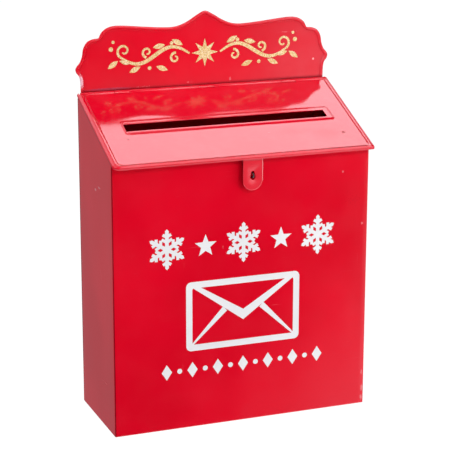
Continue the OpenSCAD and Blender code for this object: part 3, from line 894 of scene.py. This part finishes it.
# Back paint: painted shade from ambient occlusion in the roll's valley, a painted reflection on the header, and
# marks: a pale speck, a painted highlight on the left ear's roll, a painted purplish sheen line along the header's
# foot at the left, and pale streaks.
M_back = red_paint("paint_back", seed=8.0, painted_ao_shade=0.8, rough=0.16, haze=header_painted_sheen, marks=[
    ((111.8, 49.9, 319.9), (1.3, 0.5, 1.3), 0.85, (0.9, 0.6, 0.6)), ((-121.8, 48.4, 312.0), (3.2, 2, 8), 0.90, (0.95, 0.60, 0.70), 1),
    ((-95, 49.8, 303.2), (28, 0.6, 1.5), 0.55, (0.40, 0.07, 0.15), 1), 
    ((85.1, 49.9, 347.4), (12, 0.5, 0.7), 0.32, PALE), ((-14.9, 49.9, 304.8), (4, 0.5, 1.2), 0.3, PALE),
    ((25.6, 49.9, 305.4), (1.2, 0.5, 2.2), 0.35, PALE), ((-60, 49.9, 303.4), (14, 0.5, 0.9), 0.25, PALE)])
M_small = red_paint("paint_small", seed=12.0)
# Hasp paint: a painted highlight and shadow on its edges; its base is paler and brighter than the case's, a painted
# sheen standing in for the reflection the slightly tilted tab shows.
M_hasp = red_paint("paint_hasp", edges=True, base=(0.90, 0.026, 0.048), seed=15.0, rough=0.15)
M_steel = bare_steel("steel")
# painted shade: a darker copy of the bare steel for the lock staple, which shows dark inside the hasp's slot
M_steel_dark_shade = bare_steel("steel_painted_shade", 0.30)
M_white = white_vinyl("white_print_film")
M_gold = gold_glitter("gold_glitter_coat")

case = build_case(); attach(case, "case"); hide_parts("case_wrap"); wear(case, M_case)
back_ob = build_back(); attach(back_ob, "case"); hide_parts("back_plate"); wear(back_ob, M_back)
lid = build_lid(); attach(lid, "lid"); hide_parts("lid"); wear(lid, M_lid)
hasp = build_hasp(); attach(hasp, "hasp"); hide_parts("hasp_tab"); wear(hasp, M_hasp)
fp = laid_on("front_print", "front_ornament", front_wave, 7.0)
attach(fp, "case"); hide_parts("front_print"); wear(fp, M_white)
hp = laid_on("header_print", "header_ornament", lambda x, z: 0.0, 9.0)
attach(hp, "case"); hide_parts("header_print"); wear(hp, M_gold)
for n in ("floor_pan", "hinge_strip", "hasp_bracket"):
    wear(NODES[n], M_small)
for n in ("hinge_wire", "hasp_pin", "staple_plate"):
    wear(NODES[n], M_steel)
wear(NODES["lock_staple"], M_steel_dark_shade)

# ---------------------------------------------------------------- floor, lights, surroundings
bm = bmesh.new()
bmesh.ops.create_grid(bm, x_segments=2, y_segments=2, size=6.0)
fme = bpy.data.meshes.new("floor")
bm.to_mesh(fme); bm.free()
floor = bpy.data.objects.new("floor", fme)
scene.collection.objects.link(floor)
kf = Mat("floor_white")
kf.bsdf.inputs["Roughness"].default_value = 0.9
kf.bsdf.inputs["Specular IOR Level"].default_value = 0.0
kf.put(kf.bsdf.inputs["Base Color"], kf.mix(kf.map(kf.noise(1.5), 0.3, 0.7), (0.10, 0.10, 0.10, 1), (0.11, 0.11, 0.11, 1)))
kf.bsdf.inputs["Emission Color"].default_value = (1, 1, 1, 1)
kf.bsdf.inputs["Emission Strength"].default_value = 0.99
floor.data.materials.append(kf.mat)
floor.visible_glossy = False
floor.visible_diffuse = False


def area(name, loc, target, w, h, radiance):
    """A soft lamp that lights the paint; what the paint mirrors comes from the surroundings below."""
    d = bpy.data.lights.new(name, "AREA")
    d.shape = "RECTANGLE"
    d.size, d.size_y = w, h
    d.energy = radiance * math.pi * w * h
    o = bpy.data.objects.new(name, d)
    scene.collection.objects.link(o)
    loc, target = Vector(loc), Vector(target)
    o.matrix_world = (target - loc).to_track_quat("-Z", "Y").to_matrix().to_4x4()
    o.matrix_world.translation = loc
    o.visible_glossy = False
    return o


c = Vector((0, 0, 0.20))
area("key", c + Vector((0.20, -0.88, 0.50)) * 1.5, c, 0.26, 0.26, 29.0)
area("right_fill", c + Vector((0.62, -0.62, -0.14)), c + Vector((0.12, 0, -0.12)), 0.4, 0.4, 5.2)
area("front_fill", Vector((-0.25, -1.1, 0.05)), Vector((-0.08, -0.05, 0.04)), 0.5, 0.3, 6.0)
area("left_fill", Vector((-1.2, -0.25, 0.85)), Vector((-0.125, 0.0, 0.15)), 0.8, 0.8, 3.0)
area("top_fill", Vector((0.1, -0.1, 1.6)), Vector((0, 0, 0.3)), 0.5, 0.5, 4.4)

world = bpy.data.worlds.new("studio")
scene.world = world
world.use_nodes = True
wt = world.node_tree
for n in list(wt.nodes):
    wt.nodes.remove(n)


def wn(kind, **kw):
    n = wt.nodes.new(kind)
    for k_, v_ in kw.items():
        setattr(n, k_, v_)
    return n


def blob(direction, a, b, value):
    d = Vector(direction).normalized()
    n = wn("ShaderNodeVectorMath", operation="DOT_PRODUCT")
    wt.links.new(wcoord, n.inputs[0])
    n.inputs[1].default_value = d
    r = wn("ShaderNodeMapRange", interpolation_type="SMOOTHSTEP")
    wt.links.new(n.outputs["Value"], r.inputs["Value"])
    for key, x in zip(("From Min", "From Max", "To Min", "To Max"), (a, b, 0.0, value)):
        r.inputs[key].default_value = x
    return r.outputs["Result"]


wcoord = wn("ShaderNodeTexCoord").outputs["Generated"]
total = None
for args in [
        ((0.36, 0.48, 0.81), 0.951, 0.983, 4.6),        # softbox over the lid
        ((0.464, -0.803, 0.375), 0.845, 0.966, 3.4),    # panel in front
        ((0.492, -0.587, 0.643), 0.97, 0.99, 2.6),      # its upper edge
        ((0.0, 0.0, 1.0), 0.93, 0.985, 2.0),            # ceiling
        ((-0.74, -0.27, 0.615), 0.84, 0.95, 2.2),       # panel at the left, in front
        ((-0.50, 0.55, 0.67), 0.80, 0.93, 2.0),         # panel at the left, behind
        ((0.53, -0.72, -0.45), 0.967, 0.991, 1.35),     # low card at the front right
        ((-0.10, 0.97, -0.18), 0.30, 0.90, 0.28),       # backdrop
        ((0.92, 0.30, -0.10), 0.90, 0.97, 1.9),         # strip at the right
        ((0.67, 0.64, 0.38), 0.955, 0.985, 1.5),        # card at the right, behind
        ((0.0, 0.0, -1.0), 0.40, 0.60, 1.7)]:           # table underneath
    s = blob(*args)
    if total is None:
        total = s
    else:
        a_ = wn("ShaderNodeMath", operation="ADD")
        wt.links.new(total, a_.inputs[0]); wt.links.new(s, a_.inputs[1])
        total = a_.outputs[0]
base = wn("ShaderNodeMath", operation="ADD")
wt.links.new(total, base.inputs[0]); base.inputs[1].default_value = 0.008
bg_gloss, bg_diff, bg_cam = wn("ShaderNodeBackground"), wn("ShaderNodeBackground"), wn("ShaderNodeBackground")
wt.links.new(base.outputs[0], bg_gloss.inputs["Strength"])
bg_diff.inputs["Strength"].default_value = 0.37
bg_cam.inputs["Strength"].default_value = 1.0
for b_ in (bg_gloss, bg_diff, bg_cam):
    b_.inputs["Color"].default_value = (1, 1, 1, 1)
bg_gloss.inputs["Color"].default_value = (1.0, 1.0, 1.07, 1)
lp = wn("ShaderNodeLightPath")
m1, m2 = wn("ShaderNodeMixShader"), wn("ShaderNodeMixShader")
wt.links.new(lp.outputs["Is Glossy Ray"], m1.inputs[0])
wt.links.new(bg_diff.outputs[0], m1.inputs[1]); wt.links.new(bg_gloss.outputs[0], m1.inputs[2])
wt.links.new(lp.outputs["Is Camera Ray"], m2.inputs[0])
wt.links.new(m1.outputs[0], m2.inputs[1]); wt.links.new(bg_cam.outputs[0], m2.inputs[2])
out = wn("ShaderNodeOutputWorld")
wt.links.new(m2.outputs[0], out.inputs[0])

scene.view_settings.view_transform = "Standard"
scene.view_settings.look = "None"
scene.view_settings.exposure = 0.0
scene.view_settings.gamma = 1.0
